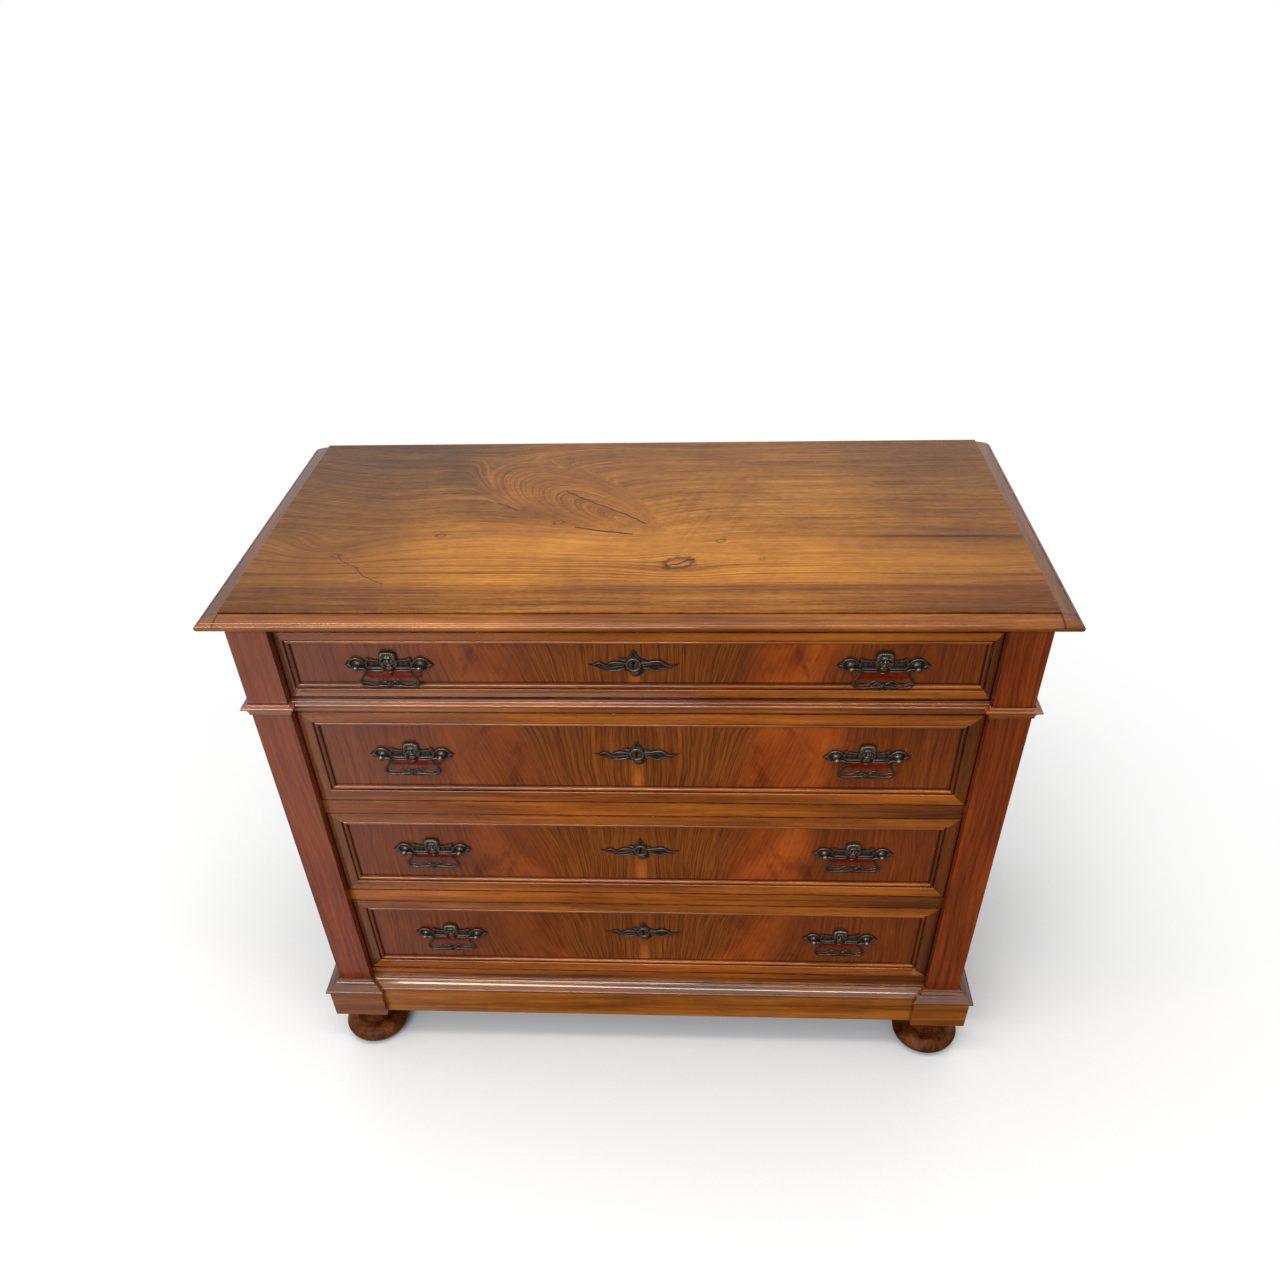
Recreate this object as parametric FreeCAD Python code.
import FreeCAD, Part
import math
import os

# A chest of four drawers on bun feet, in polished walnut with cast metal pulls.
# Millimetres. +Z is up and the front faces -Y. The origin is on the floor, under
# the middle of the chest.

Vector = FreeCAD.Vector

# Overall plan and the top
width = 1150.0
depth = 576.0
top_thickness = 25.0
top_overhang = 26.5
top_rear_reach = 12.0
top_rear_radius = 12.3
top_field_inset = 25.5
top_bed_height = 3.0

# Heights, from the floor up
foot_height = 88.0
plinth_height = 63.0
bottom_rail_height = 29.0
rail_heights = (27.0, 27.0, 26.0)
top_rail_height = 17.0
rail_depth = 50.0

# Posts and the steps in the front
post_width = 56.4
post_depth = 56.5
rear_post_depth = 48.0
drawer_setback = 16.5
centre_setback = 10.8

# Mouldings: how far each stands out from the posts
plinth_projection = 18.6
base_projection = 23.5
base_ledge_height = 16.5
waist_projection = 10.3
waist_height = 17.6

# Sides and back
side_panel_recess = 6.8
side_panel_thickness = 10.0
side_bottom_rail = 127.0
back_thickness = 10.0
bottom_board_thickness = 8.0
bottom_board_drop = 12.0

# Drawers, from the bottom drawer to the top one
opening_heights = (175.0, 172.0, 170.0, 109.0)
frame_rails = (19.0, 19.0, 19.0, 13.5)
frame_stiles = (18.8, 18.8, 18.8, 9.4)
pull_rises = (3.5, 6.0, 4.5, -1.0)
pulls_from_end = (155.8, 154.8, 154.8, 149.8)
keyhole_rises = (12.5, 7.0, 6.5, -1.0)
gap_under = 1.2
gap_over = 0.8
gap_side = 1.3
front_thickness = 20.0
frame_thickness = 6.8
frame_arris = 1.5
bead_width = 6.8
bead_setback = 1.5
quirk_width = 1.0
quirk_floor = 2.6
drawer_side_thickness = 12.0
drawer_back_thickness = 10.0
drawer_bottom_thickness = 6.0
drawer_bottom_rise = 8.0
groove_depth = 5.0
side_top_drop = 8.0
back_top_drop = 6.0
space_behind_drawer = 16.0
run_clearance = 0.3
dovetail_pitch = 45.0
dovetail_length = 14.0
dovetail_flare = 2.3

# Runners, guides and stops
runner_height = 18.0
runner_lap = 26.0
guide_height = 30.0
guide_clearance = 0.5
stop_length = 30.0
stop_width = 20.0
stop_height = 6.0
stop_from_drawer_end = 190.0

# Locks
lock_width = 64.0
lock_thickness = 12.0
lock_below_keyhole = 18.0
bolt_width = 24.0
bolt_thickness = 5.0
bolt_height = 22.0
bolt_throw = 8.0
bolt_clearance = 0.3
keyhole_radius = 2.8
keyhole_slot = 2.6
keyhole_length = 12.0
key_pin_radius = 1.2
key_hole_depth = 8.0

# Escutcheons
escutcheon_half_width = 64.5
escutcheon_plate = 2.2
escutcheon_boss_radius = 11.5
escutcheon_boss_height = 4.5
escutcheon_hole_height = 16.5
escutcheon_hole_radius = 1.1

# Pulls
pull_half_width = 64.8
pull_plate_drop = 2.6
pull_post_place = 44.5
pull_post_reach = 12.0
pull_plate_thickness = 3.0
pull_bar_half_length = 31.5
pull_bar_top = 9.6
pull_bar_bottom = 8.0
mask_height = 26.5
mask_radius = 13.0
mask_relief = 7.5
volute_radius = 9.6
volute_relief = 4.5
scroll_radius = 3.4
drop_radius = 2.4
ball_radius = 4.6
neck_radius = 2.8
stud_radius = 2.3
hole_clearance = 0.2
nut_width = 9.0
nut_thickness = 4.0
bail_radius = 2.1
bail_pin_radius = 1.5
bail_pin_depth = 3.9
bail_pin_clearance = 0.3
bail_neck = 31.4
bail_half_width = 41.2
bail_drop = 30.4
bow_rise = 2.0
bud_radius = 4.0
collar_radius = 2.6

# Feet
bun_inside_post = 33.0
bun_behind_front = 60.0
bun_radius = 58.0
bun_equator = 20.0
bun_floor_radius = 36.0
bun_top = 36.0
bun_ring_radius = 30.0
bun_neck_radius = 24.0
bun_collar_radius = 38.0
bun_collar_height = 18.0


# Places worked out from the sizes above
half_width = width / 2
front = -depth / 2
back = depth / 2
post_outer = half_width - top_overhang
post_inner = post_outer - post_width
post_face = front + top_overhang
post_rear = post_face + post_depth
drawer_plane = post_face + drawer_setback
centre_line = post_face + centre_setback
centre_backing = drawer_setback - centre_setback
rail_rear = drawer_plane + rail_depth
rear_post_front = back - rear_post_depth
plinth_top = foot_height + plinth_height
panel_plane = drawer_plane + frame_thickness
front_rear = panel_plane + front_thickness
drawer_half = post_inner - gap_side
stop_place = drawer_half - stop_from_drawer_end
bun_place = post_outer - bun_inside_post
back_panel_front = back - back_thickness
drawer_rear = back_panel_front - space_behind_drawer
side_face = post_outer
side_panel_face = side_face - side_panel_recess
side_inner = side_panel_face - side_panel_thickness


def opening_floors():
    """Height of the floor of each drawer opening, and of the top rail's underside."""
    floors = [plinth_top + bottom_rail_height]
    for opening, rail in zip(opening_heights, rail_heights + (0.0,)):
        floors.append(floors[-1] + opening + rail)
    return floors


floors = opening_floors()
top_rail_bottom = floors[-1]
carcass_top = top_rail_bottom + top_rail_height
height = carcass_top + top_thickness
drawer_count = len(opening_heights)
waist_level = floors[-2]
side_top_rail = carcass_top - waist_level + rail_heights[-1]


def box(x0, x1, y0, y1, z0, z1):
    """A box between two values on each axis."""
    return Part.makeBox(x1 - x0, y1 - y0, z1 - z0, Vector(x0, y0, z0))


def prism(points, low, high):
    """An upright prism on a plan polygon."""
    loop = [Vector(x, y, low) for x, y in points]
    face = Part.Face(Part.makePolygon(loop + loop[:1]))
    return face.extrude(Vector(0, 0, high - low))


def rod(radius, start, way, length):
    """A round rod from a point along a direction."""
    return Part.makeCylinder(radius, length, Vector(*start), Vector(*way))


def mirrored(shape):
    """The shape's mirror image across the middle of the chest."""
    return shape.mirror(Vector(0, 0, 0), Vector(1, 0, 0))


def both_sides(shape):
    """The shape and its mirror image."""
    return [shape, mirrored(shape)]


def moved(shape, x=0.0, y=0.0, z=0.0):
    """A copy of the shape, moved."""
    copy = shape.copy()
    copy.translate(Vector(x, y, z))
    return copy


def outline(place, start, steps):
    """A closed face: each step is a point to draw a line to, or (through, end) for an arc."""
    edges = []
    here = start
    for step in list(steps) + [start]:
        arc = isinstance(step[0], tuple)
        end = step[1] if arc else step
        if arc:
            edge = Part.Arc(place(here), place(step[0]), place(end)).toShape()
            edges.append(edge)
        elif place(here).distanceToPoint(place(end)) > 1e-6:
            edges.append(Part.LineSegment(place(here), place(end)).toShape())
        here = end
    return Part.Face(Part.Wire(edges))


def moulding_leg(section, start, end, before, after, backing):
    """One mitred length of moulding along a plan line, standing out to its right.

    section lists (projection, height) steps. before and after are the plan lines that
    meet it, or None at a square end. backing is how far it reaches behind the line.
    """
    along = Vector(end[0] - start[0], end[1] - start[1], 0)
    length = along.Length
    along.normalize()
    out = Vector(along.y, -along.x, 0)
    reach = base_projection + top_overhang
    first = Vector(start[0], start[1], 0)
    last = Vector(end[0], end[1], 0)

    def mitre(neighbour):
        if neighbour is None:
            return out
        side = Vector(neighbour[1][0] - neighbour[0][0], neighbour[1][1] - neighbour[0][1], 0)
        side.normalize()
        return out + Vector(side.y, -side.x, 0)

    def place(point):
        return first - along * reach + out * point[0] + Vector(0, 0, point[1])

    face = outline(place, section[0], section[1:])
    run = face.extrude(along * (length + 2 * reach))
    corners = []
    for spot, way in ((first, mitre(before)), (last, mitre(after))):
        corners.append((spot - way * backing, spot + way * reach))
    loop = [corners[0][0], corners[0][1], corners[1][1], corners[1][0]]
    wedge = prism([(p.x, p.y) for p in loop], 0, height + reach)
    return run.common(wedge)


def moulding(section, centre_section, path):
    """Mitred lengths along a plan path. The longest length between posts is the centre's."""
    legs = []
    lines = list(zip(path[:-1], path[1:]))
    posts = Part.makeCompound(both_sides(front_post()))
    for number, line in enumerate(lines):
        before = lines[number - 1] if number > 0 else None
        after = lines[number + 1] if number < len(lines) - 1 else None
        centre = line[0][1] == line[1][1] and line[0][1] > post_face
        if centre:
            leg = moulding_leg(centre_section, *line, before, after, centre_backing)
            leg = leg.cut(posts)
        else:
            leg = moulding_leg(section, *line, before, after, 0.0)
        legs += leg.Solids
    return legs


def stepped_path():
    """The plan of the post faces: along a side, round each post and across the front."""
    half = [(post_outer, back), (post_outer, post_face), (post_inner, post_face), (post_inner, centre_line)]
    left = [(-x, y) for x, y in half]
    return left + half[::-1]


def front_post():
    """The right front post, whose face is the plain pilaster."""
    return box(post_inner, post_outer, post_face, post_rear, foot_height, carcass_top)


def rear_post():
    """The right rear post, which runs to the floor as the rear foot."""
    return box(post_inner, post_outer, rear_post_front, back, 0, carcass_top)


def base_section(backing):
    """The base moulding: a bead and quirk, a cove, a long slope and a rounded nose."""
    low = plinth_top
    top = low + base_ledge_height
    nose = base_projection
    return [
        (-backing, low),
        (plinth_projection, low),
        (nose - 0.7, low + 0.7),
        ((nose - 0.1, low + 1.3), (nose, low + 2.0)),
        (nose, low + 4.0),
        ((nose - 1.0, low + 5.3), (nose - 3.0, low + 6.0)),
        ((nose - 7.5, low + 9.0), (nose - 12.5, low + 11.2)),
        ((nose - 16.0, low + 12.2), (nose - 17.5, top - 3.0)),
        (nose - 18.4, top - 3.0),
        (nose - 18.4, top - 0.3),
        ((nose - 19.4, top + 0.7), (nose - 20.6, top - 0.7)),
        (nose - 21.0, top - 0.7),
        (nose - 21.2, top),
        (-backing, top),
    ]


def waist_section(backing):
    """The waist moulding: a cove, a half-round nose, a quirk and a small top bead."""
    top = waist_level
    low = top - waist_height
    nose = waist_projection
    steps = [
        (-backing, low),
        (2.5, low),
        (2.5, low + 1.0),
        ((nose - 6.6, low + 6.5), (nose - 2.3, low + 11.0)),
        (nose - 1.3, low + 11.8),
        ((nose, low + 14.0), (nose - 1.7, low + 16.0)),
        (4.0, low + 16.0),
        ((3.4, low + 17.2), (2.2, top)),
    ]
    if backing > 0:
        quirk = backing - 2.2
        steps += [(-quirk + 1.0, top), (-quirk, top - 0.8), (-quirk, top - 3.0), (-backing, top - 3.0)]
    else:
        steps += [(1.3, top - 1.0), (0.0, top - 1.0)]
    return steps


def top_section():
    """The edge of the top: a slope, a groove, a bullnose and a cove under it."""
    joint = top_overhang - top_field_inset
    nose = top_overhang
    low = carcass_top - top_bed_height
    return [
        (joint, carcass_top),
        (0.0, carcass_top),
        (0.0, low),
        (1.2, low),
        ((2.6, low + 4.6), (6.0, low + 7.0)),
        (6.0, low + 11.5),
        (nose - 5.5, low + 11.5),
        ((nose, low + 17.0), (nose - 5.0, low + 22.4)),
        (nose - 5.6, low + 21.4),
        (nose - 6.4, low + 22.6),
        (joint, low + 25.5),
    ]


def make_top_board():
    edge = half_width - top_field_inset
    board = box(-edge, edge, front + top_field_inset, back, carcass_top, height)
    return [board.makeChamfer(0.6, [e for e in board.Edges if e.BoundBox.ZMin > height - 0.01
                                    and e.BoundBox.YMin < back - 0.01])]


def make_top_moulding():
    """The top's mitred edge, with its two rear corners rounded."""
    line = [(-post_outer, back), (-post_outer, post_face), (post_outer, post_face), (post_outer, back)]
    legs = moulding(top_section(), None, line)
    x = half_width - top_rear_reach
    y = back - top_rear_reach
    beyond = top_rear_reach * 2
    spare = box(x, x + beyond, y, y + beyond, foot_height, height)
    spare = spare.cut(rod(top_rear_radius, (x, y, foot_height), (0, 0, 1), height))
    for corner in both_sides(spare):
        legs = [leg.cut(corner) for leg in legs]
    return legs


def make_side_rails():
    rails = []
    for low, high in ((foot_height, foot_height + side_bottom_rail), (carcass_top - side_top_rail, carcass_top)):
        rails += both_sides(box(side_inner, side_face, post_rear, rear_post_front, low, high))
    return rails


def side_opening():
    """The field between the side's rails and posts: y0, y1, z0, z1."""
    return post_rear, rear_post_front, foot_height + side_bottom_rail, carcass_top - side_top_rail


def make_side_panels():
    y0, y1, z0, z1 = side_opening()
    return both_sides(box(side_inner, side_panel_face, y0, y1, z0, z1))


def bead_section(rear):
    """The bead inside a frame, as (distance in from the frame, distance behind its face)."""
    middle = (quirk_width + bead_width) / 2
    return [
        (0.0, rear),
        (0.0, rear - quirk_floor),
        (quirk_width, rear - quirk_floor),
        ((middle, bead_setback), (bead_width - 0.4, rear - 1.4)),
        (bead_width - 0.4, rear),
    ]


def ring_strips(section, corners, face_place, mitres):
    """Four mitred strips round a rectangle.

    corners are (a0, a1, b0, b1) of the rectangle that the section's zero line follows.
    face_place turns (a, b, behind) into a point. mitres gives how far the mitre runs in
    along a and b for the full width of the section.
    """
    a0, a1, b0, b1 = corners
    run_a, run_b = mitres
    strips = []
    sides = (
        ((a0, b0), (1, 0), (0, 1), a1 - a0, run_b, run_a),
        ((a1, b0), (0, 1), (-1, 0), b1 - b0, run_a, run_b),
        ((a1, b1), (-1, 0), (0, -1), a1 - a0, run_b, run_a),
        ((a0, b1), (0, -1), (1, 0), b1 - b0, run_a, run_b),
    )
    for (a, b), along, inward, length, across, cut_back in sides:
        def place(point):
            return face_place(a + inward[0] * point[0], b + inward[1] * point[0], point[1])

        face = outline(place, section[0], section[1:])
        way = face_place(a + along[0], b + along[1], 0) - face_place(a, b, 0)
        run = face.extrude(way * length)
        plan = []
        for step, depth_in in ((0, 0), (length, 0), (length - cut_back, across), (cut_back, across)):
            plan.append((a + along[0] * step + inward[0] * depth_in, b + along[1] * step + inward[1] * depth_in))
        loop = [face_place(p, q, -1.0) for p, q in plan]
        through = face_place(a, b, frame_thickness + 2.0) - face_place(a, b, -1.0)
        wedge = Part.Face(Part.makePolygon(loop + loop[:1])).extrude(through)
        strips += run.common(wedge).Solids
    return strips


def make_side_beads():
    y0, y1, z0, z1 = side_opening()

    def on_side(y, z, behind):
        return Vector(side_face - behind, y, z)

    strips = ring_strips(bead_section(side_panel_recess), (y0, y1, z0, z1), on_side, (bead_width, bead_width))
    return strips + [mirrored(strip) for strip in strips]


def make_waist_moulding():
    return moulding(waist_section(0.0), waist_section(centre_backing), stepped_path())


def make_base_moulding():
    return moulding(base_section(0.0), base_section(centre_backing), stepped_path())


def make_plinth():
    """Two blocks round the front posts, a board along each side and one across the front."""
    block_inner = post_inner - plinth_projection
    block_outer = post_outer + plinth_projection
    block = box(block_inner, block_outer, post_face - plinth_projection, drawer_plane, foot_height, plinth_top)
    block = block.cut(front_post())
    side = box(post_outer, block_outer, drawer_plane, back, foot_height, plinth_top)
    centre_face = centre_line - plinth_projection
    centre = box(-block_inner, block_inner, centre_face, drawer_plane, foot_height, plinth_top)
    return both_sides(block) + both_sides(side) + [centre]


def bolt_mortise(level):
    """The pocket above a lock bolt, cut up into the rail."""
    half = bolt_width / 2 + 1.0
    middle = front_rear - lock_thickness / 2
    reach = bolt_thickness / 2 + 1.0
    return box(-half, half, middle - reach, middle + reach, level, level + bolt_throw + 1.0)


def front_rail(low, high):
    """A rail between the front posts, from its underside to its top."""
    return box(-post_inner, post_inner, drawer_plane, rail_rear, low, high)


def make_top_rail():
    return [front_rail(top_rail_bottom, carcass_top).cut(bolt_mortise(top_rail_bottom))]


def make_drawer_rails():
    rails = []
    for floor, thickness in zip(floors[1:], rail_heights):
        rail = front_rail(floor - thickness, floor)
        rails.append(rail.cut(bolt_mortise(floor - thickness)))
    return rails


def make_bottom_rail():
    return [front_rail(plinth_top, floors[0])]


def make_bottom_board():
    high = plinth_top - bottom_board_drop
    board = box(-side_inner, side_inner, drawer_plane, back_panel_front, high - bottom_board_thickness, high)
    for post in both_sides(front_post()) + both_sides(rear_post()):
        board = board.cut(post)
    return [board]


def make_back_panel():
    return [box(-post_inner, post_inner, back_panel_front, back, foot_height, carcass_top)]


def make_runners():
    """A runner under each drawer side and a guide beside it, for every drawer."""
    pieces = []
    guide_face = drawer_half + guide_clearance
    for floor in floors[:drawer_count]:
        runner = box(drawer_half - runner_lap, side_inner, rail_rear, rear_post_front, floor - runner_height, floor)
        guide = box(guide_face, side_inner, post_rear, rear_post_front, floor, floor + guide_height)
        pieces += both_sides(runner) + both_sides(guide)
    return pieces


def make_stops():
    stops = []
    stop_front = front_rear + run_clearance
    for floor in floors[:drawer_count]:
        block = box(stop_place, stop_place + stop_length, stop_front, stop_front + stop_width,
                    floor, floor + stop_height)
        stops += both_sides(block)
    return stops


def bun_foot():
    """The right bun foot, turned: a flattened ball, a thin ring, a hollow neck and a collar."""
    centre_y = front + bun_behind_front
    collar_low = foot_height - bun_collar_height

    def place(point):
        return Vector(bun_place + point[0], centre_y, point[1])

    neck_height = (bun_top + collar_low) / 2 - 4.0
    steps = [
        (0, 0),
        (bun_floor_radius, 0),
        ((bun_radius - 6.0, bun_equator * 0.3), (bun_radius, bun_equator)),
        ((bun_radius - 9.0, bun_top - 5.5), (bun_ring_radius, bun_top - 1.5)),
        (bun_ring_radius - 1.2, bun_top - 1.5),
        ((bun_ring_radius, bun_top), (bun_ring_radius - 1.2, bun_top + 1.5)),
        (bun_neck_radius + 2.5, bun_top + 1.5),
        ((bun_neck_radius, neck_height), (bun_collar_radius - 5.0, collar_low)),
        (bun_collar_radius, collar_low),
        (bun_collar_radius, foot_height),
        (0, foot_height),
    ]
    face = outline(place, steps[0], steps[1:])
    return face.revolve(Vector(bun_place, centre_y, 0), Vector(0, 0, 1), 360)


def dovetails(low, high, root, way, outer, thickness):
    """Tails of a drawer side that reach along Y from root, spread between two heights."""
    count = max(2, round((high - low) / dovetail_pitch))
    pitch = (high - low) / count
    half = pitch * 0.28
    tails = []
    for number in range(count):
        middle = low + pitch * (number + 0.5)
        tip = root + way[0] * way[1]
        corners = [
            (root, middle - half),
            (tip, middle - half - dovetail_flare),
            (tip, middle + half + dovetail_flare),
            (root, middle + half),
        ]
        loop = [Vector(outer - thickness, y, z) for y, z in corners]
        face = Part.Face(Part.makePolygon(loop + loop[:1]))
        tails.append(face.extrude(Vector(thickness, 0, 0)))
    return tails


class Drawer:
    """The heights and places that one drawer's pieces share."""

    def __init__(self, index):
        self.floor = floors[index]
        self.opening = opening_heights[index]
        self.low = self.floor + gap_under
        self.high = self.floor + self.opening - gap_over
        self.side_low = self.floor + run_clearance
        self.side_high = self.high - side_top_drop
        self.bottom_low = self.side_low + drawer_bottom_rise
        self.bottom_high = self.bottom_low + drawer_bottom_thickness
        self.rail = frame_rails[index]
        self.stile = frame_stiles[index]
        self.middle = self.floor + self.opening / 2
        self.pull_axis = self.middle + pull_rises[index]
        self.keyhole = self.middle + keyhole_rises[index]
        self.pull_place = drawer_half - pulls_from_end[index]
        self.lock_low = self.keyhole - lock_below_keyhole

    def bottom(self):
        """The bottom board, whose edges run in grooves of the sides and the front."""
        reach = drawer_half - drawer_side_thickness + groove_depth
        return box(-reach, reach, front_rear - groove_depth, drawer_rear, self.bottom_low, self.bottom_high)

    def front_tails(self):
        return dovetails(self.low + 2.0, self.side_high, front_rear, (dovetail_length, -1),
                         drawer_half, drawer_side_thickness)

    def back_tails(self):
        root = drawer_rear - drawer_back_thickness
        return dovetails(self.bottom_high, self.side_high - back_top_drop, root, (drawer_back_thickness, 1),
                         drawer_half, drawer_side_thickness)

    def side(self):
        """The right side, with its tails at both ends."""
        body = box(drawer_half - drawer_side_thickness, drawer_half, front_rear,
                   drawer_rear - drawer_back_thickness, self.side_low, self.side_high)
        foot = box(drawer_half - drawer_side_thickness, drawer_half, drawer_rear - drawer_back_thickness,
                   drawer_rear, self.side_low, self.bottom_high)
        side = body.fuse([foot] + self.front_tails() + self.back_tails())
        return side.cut(self.groove()).removeSplitter()

    def groove(self):
        """The space that the bottom takes in the sides, clear of the front tails."""
        reach = drawer_half - drawer_side_thickness + groove_depth
        return box(-reach, reach, front_rear, drawer_rear, self.bottom_low, self.bottom_high)

    def box_pieces(self):
        side = self.side()
        rear = box(-drawer_half, drawer_half, drawer_rear - drawer_back_thickness, drawer_rear,
                   self.bottom_high, self.side_high - back_top_drop)
        for tail in self.back_tails():
            rear = rear.cut(tail).cut(mirrored(tail))
        return both_sides(side) + [rear]

    def bottom_board(self):
        board = self.bottom()
        for tail in self.front_tails():
            board = board.cut(tail).cut(mirrored(tail))
        return [board]

    def keyhole_shape(self, start, length):
        """A keyhole: a round top with a slot below it, cut back along Y."""
        round_part = rod(keyhole_radius, (0, start, self.keyhole + keyhole_radius), (0, 1, 0), length)
        half = keyhole_slot / 2
        low = self.keyhole + 2 * keyhole_radius - keyhole_length
        slot = box(-half, half, start, start + length, low, self.keyhole + keyhole_radius)
        return round_part.fuse(slot)

    def lock_case(self):
        half = lock_width / 2
        return box(-half, half, front_rear - lock_thickness, front_rear, self.lock_low, self.high)

    def bolt(self, clearance):
        half = bolt_width / 2 + clearance
        middle = front_rear - lock_thickness / 2
        reach = bolt_thickness / 2 + clearance
        return box(-half, half, middle - reach, middle + reach, self.high - bolt_height - clearance, self.high)

    def lock(self):
        pin_start = front_rear - lock_thickness
        case = self.lock_case().cut(self.bolt(bolt_clearance))
        case = case.cut(self.keyhole_shape(pin_start, key_hole_depth))
        pin = rod(key_pin_radius, (0, pin_start, self.keyhole + keyhole_radius), (0, 1, 0), key_hole_depth)
        return [case.fuse(pin)]

    def front_board(self):
        """The veneered board with its keyhole, lock recess, dovetail sockets and bolt holes."""
        board = box(-drawer_half, drawer_half, panel_plane, front_rear, self.low, self.high)
        for tail in self.front_tails():
            board = board.cut(tail).cut(mirrored(tail))
        board = board.cut(self.bottom())
        board = board.cut(self.lock_case())
        board = board.cut(self.keyhole_shape(panel_plane, front_thickness))
        for centre in (-self.pull_place, self.pull_place):
            for side in (-1, 1):
                spot = (centre + side * pull_post_place, panel_plane, self.pull_axis)
                board = board.cut(rod(stud_radius + hole_clearance, spot, (0, 1, 0), front_thickness))
        return [board]

    def frame(self):
        """Four flat members round the front, and four lengths of bead inside them."""
        def on_front(x, z, behind):
            return Vector(x, drawer_plane + behind, z)

        rear = frame_thickness
        strips = []
        outer = (-drawer_half, drawer_half, self.low, self.high)
        for flat in (self.rail, self.stile):
            section = [
                (0.0, 0.0),
                (flat - frame_arris, 0.0),
                ((flat - 0.3 * frame_arris, 0.3 * frame_arris), (flat, frame_arris)),
                (flat, rear),
                (0.0, rear),
            ]
            members = ring_strips(section, outer, on_front, (self.stile, self.rail))
            strips += members[0::2] if flat == self.rail and not strips else members[1::2]
        inner = (-drawer_half + self.stile, drawer_half - self.stile, self.low + self.rail, self.high - self.rail)
        strips += ring_strips(bead_section(rear), inner, on_front, (bead_width, bead_width))
        return strips

    def escutcheon(self):
        return [escutcheon_shape(self.keyhole).cut(self.keyhole_shape(front, depth / 2))]

    def pull_plates(self):
        solids = []
        for centre in (-self.pull_place, self.pull_place):
            solids += [moved(piece, centre, panel_plane, self.pull_axis) for piece in pull_plate_pieces()]
        return solids

    def bail(self, centre):
        return [moved(bail_shape(), centre, panel_plane - pull_post_reach, self.pull_axis)]


def escutcheon_outline():
    """The escutcheon's edge round its keyhole as (x, z): a gable, a shell and two leaf scrolls."""
    tip = escutcheon_half_width
    right = [
        (6.0, 13.5),
        (12.7, 9.0),
        (24.0, 5.6),
        ((33.0, 8.2), (41.0, 5.4)),
        ((48.0, -0.6), (55.0, -1.6)),
        (tip, 1.4),
        ((58.0, -5.0), (50.0, -6.4)),
        ((40.0, -7.6), (36.5, -8.2)),
        ((28.5, -11.4), (22.0, -7.0)),
        (15.0, -8.5),
        ((13.0, -16.6), (7.0, -20.0)),
    ]
    left = [
        (0.0, -20.8),
        ((-4.5, -18.6), (-7.0, -12.0)),
        (-14.0, -10.0),
        ((-26.0, -11.6), (-42.6, -9.4)),
        ((-50.0, -5.5), (-56.0, -3.0)),
        (-tip, 0.8),
        ((-56.0, 0.0), (-48.5, 4.8)),
        (-41.5, 3.6),
        (-37.0, -0.4),
        ((-33.5, 4.4), (-27.0, 5.6)),
        (-15.0, 5.4),
        (-21.5, 11.5),
        (-12.0, 11.0),
        (-6.0, 13.5),
    ]
    return (0.0, 23.6), right + left


def escutcheon_shape(level):
    start, steps = escutcheon_outline()

    def place(point):
        return Vector(point[0], panel_plane, level + point[1])

    plate = outline(place, start, steps).extrude(Vector(0, -escutcheon_plate, 0))
    boss = rod(escutcheon_boss_radius, (0, panel_plane, level), (0, -1, 0), escutcheon_boss_height)
    hole = rod(escutcheon_hole_radius, (0, front, level + escutcheon_hole_height), (0, 1, 0), depth / 2)
    return plate.fuse(boss).cut(hole).removeSplitter()


def volute(x, z, radius, relief):
    """A round lobe of a plate, domed a little."""
    lobe = rod(radius, (x, 0, z), (0, -1, 0), relief)
    rim = [edge for edge in lobe.Edges if edge.BoundBox.YMax < -relief + 0.01 and edge.BoundBox.XLength > radius]
    return lobe.makeFillet(relief * 0.5, rim)


def pull_plate():
    """A pull's plate: a mask between two bars, a lobe and a leaf at each end, and a drop below.

    It is drawn about its own middle, then lowered so that the posts' axis is at zero.
    """
    reach = pull_bar_half_length
    parts = []
    mask_z = mask_height - mask_radius
    parts.append(volute(0, mask_z, mask_radius, mask_relief))
    parts.append(volute(0, mask_z - mask_radius * 0.75, mask_radius * 0.62, mask_relief - 1.0))
    for number in range(2):
        bead = drop_radius * (1.0 - 0.25 * number)
        place = Vector(0, -bead, -pull_bar_bottom - drop_radius * (0.7 + 1.4 * number))
        parts.append(Part.makeSphere(bead, place))
    tip_root = pull_post_place + volute_radius * 0.7
    for side in (-1, 1):
        scroll_place = side * (reach - scroll_radius * 0.6)
        parts.append(volute(scroll_place, pull_bar_top, scroll_radius, pull_plate_thickness + 0.8))
        parts.append(volute(side * (pull_post_place + 1.0), volute_radius * 0.4, volute_radius, volute_relief))
        link = [(side * (reach - 1.0), -5.0), (side * pull_post_place, -6.5), (side * pull_post_place, 6.0),
                (side * (reach - 1.0), 5.0)]
        leaf = [(side * tip_root, -5.5), (side * (pull_half_width - 5.0), -3.4), (side * pull_half_width, 1.4),
                (side * (pull_half_width - 4.6), 6.2), (side * tip_root, 8.0)]
        for flat in (link, leaf):
            loop = [Vector(x, 0, z) for x, z in flat]
            face = Part.Face(Part.makePolygon(loop + loop[:1]))
            parts.append(face.extrude(Vector(0, -pull_plate_thickness, 0)))
    plate = box(-reach, reach, -pull_plate_thickness, 0, -pull_bar_bottom, pull_bar_top).fuse(parts)
    plate = moved(plate, z=-pull_plate_drop)
    for side in (-1, 1):
        hole = rod(stud_radius + hole_clearance, (side * pull_post_place, 0, 0), (0, -1, 0), pull_post_reach)
        plate = plate.cut(hole)
    return plate.removeSplitter()


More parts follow.
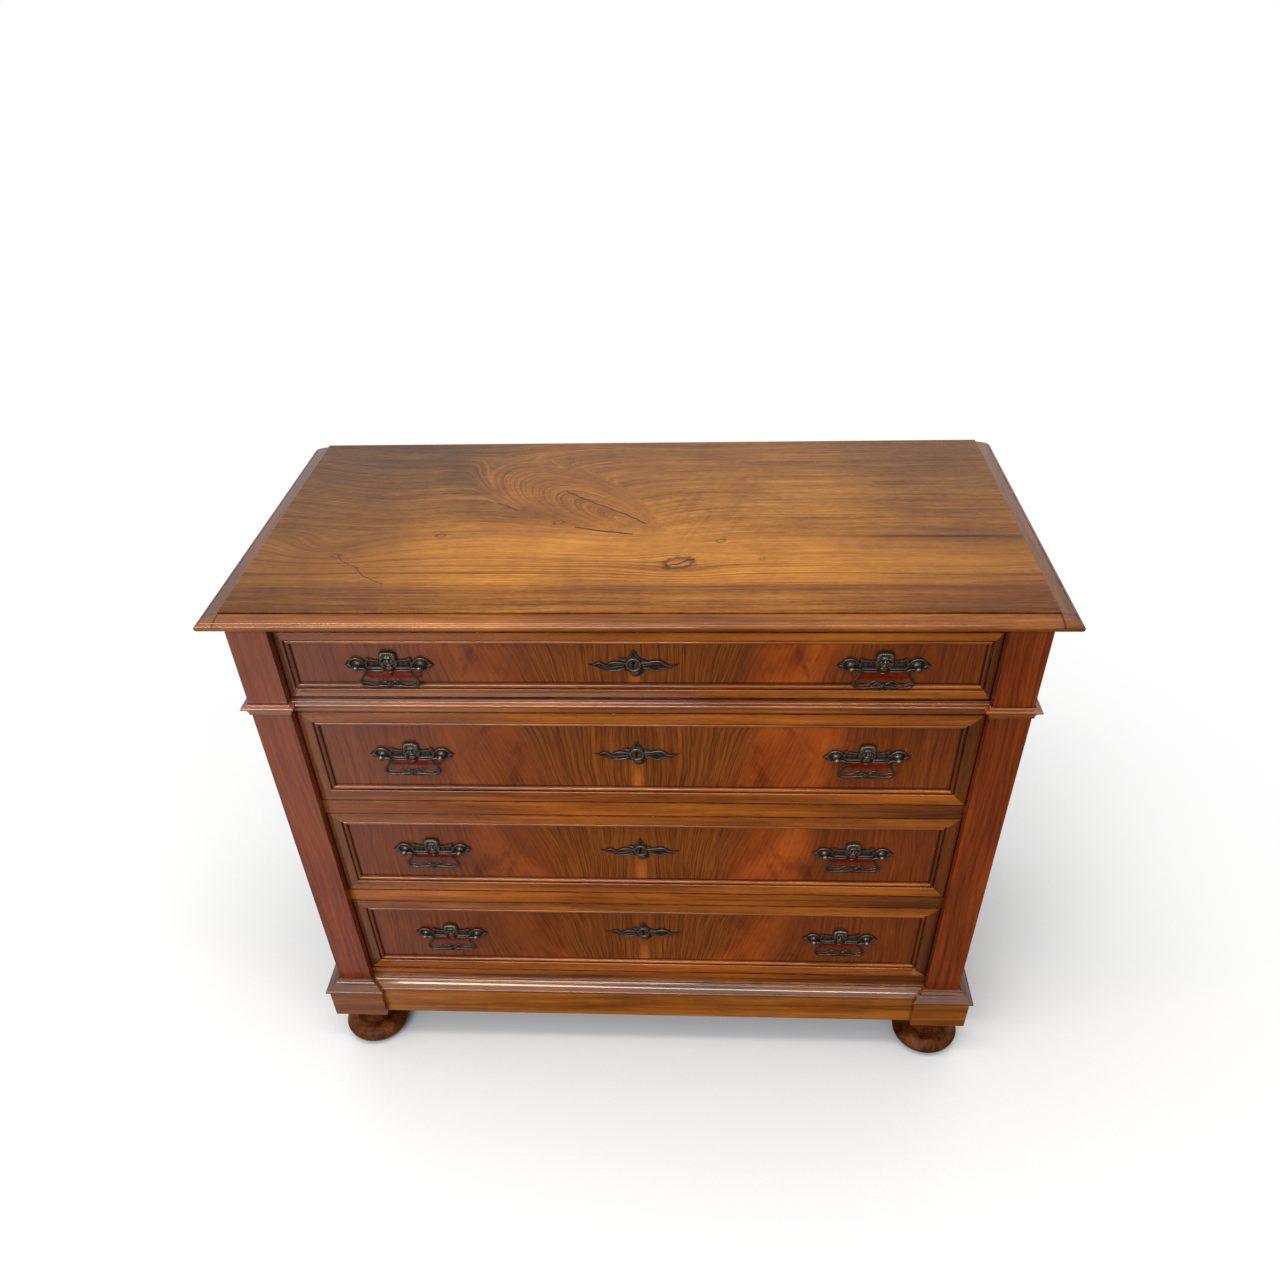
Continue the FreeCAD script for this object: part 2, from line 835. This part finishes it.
def pull_post():
    """The right post: a ball on a neck, and a stud that runs through the plate and the board."""
    spot = pull_post_place
    ball = Part.makeSphere(ball_radius, Vector(spot, -pull_post_reach, 0))
    neck = rod(neck_radius, (spot, -volute_relief, 0), (0, -1, 0), pull_post_reach - volute_relief)
    stud_length = volute_relief + front_thickness + nut_thickness + 1.5
    stud = rod(stud_radius, (spot, -volute_relief, 0), (0, 1, 0), stud_length)
    pocket = rod(bail_pin_radius + bail_pin_clearance, (spot - ball_radius - 1.0, -pull_post_reach, 0), (1, 0, 0),
                 bail_pin_depth + 1.0 + bail_pin_clearance)
    return ball.fuse([neck, stud]).cut(pocket).removeSplitter()


def pull_nut():
    """The right post's nut, behind the board."""
    half = nut_width / 2
    spot = pull_post_place
    nut = box(spot - half, spot + half, front_thickness, front_thickness + nut_thickness, -half, half)
    return nut.cut(rod(stud_radius + hole_clearance, (spot, front_thickness, 0), (0, 1, 0), nut_thickness))


def pull_plate_pieces():
    """One pull without its bail: the plate, two posts and two nuts, about the plate's middle."""
    return [pull_plate()] + both_sides(pull_post()) + both_sides(pull_nut())


def rounded_rod(points, bend, radius):
    """A round rod through points, in straight runs joined by tangent bends."""
    pieces = []
    here = points[0]
    for before, corner, after in zip(points[:-2], points[1:-1], points[2:]):
        into = corner - before
        out = after - corner
        turn = into.getAngle(out)
        room = 0.45 * min(into.Length, out.Length)
        cut = min(bend * math.tan(turn / 2), room)
        into.normalize()
        out.normalize()
        first = corner - into * cut
        arm = cut / math.tan(turn / 2)
        axis = into.cross(out)
        centre = first + axis.cross(into).normalize() * arm
        pieces.append(Part.makeCylinder(radius, (first - here).Length, here, into))
        disc = Part.Face(Part.Wire(Part.makeCircle(radius, first, into)))
        elbow = disc.revolve(centre, axis, math.degrees(turn))
        pieces.append(elbow)
        here = corner + out * cut
    last = points[-1] - here
    pieces.append(Part.makeCylinder(radius, last.Length, here, last))
    return pieces[0].fuse(pieces[1:])


def bail_shape():
    """A swan-neck bail about its hinge axis: two pins, two S-curved arms, a bow and a bud."""
    shoulder = pull_post_place - ball_radius - bail_pin_clearance
    half = [
        (shoulder, 0.0),
        (bail_neck, 0.0),
        (bail_neck + 2.6, -10.5),
        (bail_half_width, -bail_drop * 0.68),
        (bail_half_width - 4.0, -bail_drop + 0.8),
        (26.0, -bail_drop),
    ]
    middle = [(0.0, -bail_drop + bow_rise)]
    plan = half + middle + [(-x, z) for x, z in half[::-1]]
    tube = rounded_rod([Vector(x, 0, z) for x, z in plan], bail_radius * 3.5, bail_radius)
    along = Vector(1, 0, 0)
    bud = Part.makeSphere(bud_radius, Vector(0, 0, -bail_drop + bow_rise), along)
    collars = [Part.makeSphere(collar_radius, Vector(side * bud_radius * 1.5, 0, -bail_drop + bow_rise - 0.4), along)
               for side in (-1, 1)]
    pin_length = bail_pin_depth + bail_pin_clearance + 2.0
    pins = [rod(bail_pin_radius, (side * (shoulder - 2.0), 0, 0), (side, 0, 0), pin_length) for side in (-1, 1)]
    return tube.fuse([bud] + collars + pins)


def save(name, solids):
    """Write the solids of one node."""
    shape = solids[0] if len(solids) == 1 else Part.makeCompound(solids)
    for solid in shape.Solids:
        if not solid.isValid():
            print("INVALID", name)
    print(name, len(shape.Solids), "solids,", round(shape.Volume / 1000.0, 1), "cm3")
    shape.exportStep(os.path.join("parts", name + ".step"))


def build_carcass():
    save("top_board", make_top_board())
    save("top_moulding", make_top_moulding())
    save("pilaster_left", [mirrored(front_post())])
    save("pilaster_right", [front_post()])
    save("rear_posts", both_sides(rear_post()))
    save("side_rails", make_side_rails())
    save("side_panels", make_side_panels())
    save("side_beads", make_side_beads())
    save("waist_moulding", make_waist_moulding())
    save("top_rail", make_top_rail())
    save("drawer_rails", make_drawer_rails())
    save("bottom_rail", make_bottom_rail())
    save("base_moulding", make_base_moulding())
    save("plinth", make_plinth())
    save("bottom_board", make_bottom_board())
    save("back_panel", make_back_panel())
    save("drawer_runners", make_runners())
    save("drawer_stops", make_stops())
    save("bun_foot_left", [mirrored(bun_foot())])
    save("bun_foot_right", [bun_foot()])


def build_drawer(index):
    """Drawers are numbered from the top one down."""
    drawer = Drawer(index)
    name = "drawer_" + str(drawer_count - index) + "_"
    save(name + "front", drawer.front_board())
    save(name + "frame", drawer.frame())
    save(name + "box", drawer.box_pieces())
    save(name + "bottom", drawer.bottom_board())
    save(name + "escutcheon", drawer.escutcheon())
    save(name + "lock", drawer.lock())
    save(name + "lock_bolt", [drawer.bolt(0.0)])
    save(name + "pull_plates", drawer.pull_plates())
    save(name + "bail_left", drawer.bail(-drawer.pull_place))
    save(name + "bail_right", drawer.bail(drawer.pull_place))
    print(name, "pull axis", drawer.pull_axis, "keyhole", drawer.keyhole, "front", drawer.low, drawer.high)


def main():
    os.makedirs("parts", exist_ok=True)
    build_carcass()
    for index in range(drawer_count):
        build_drawer(index)
    print("overall", width, depth, height)


main()
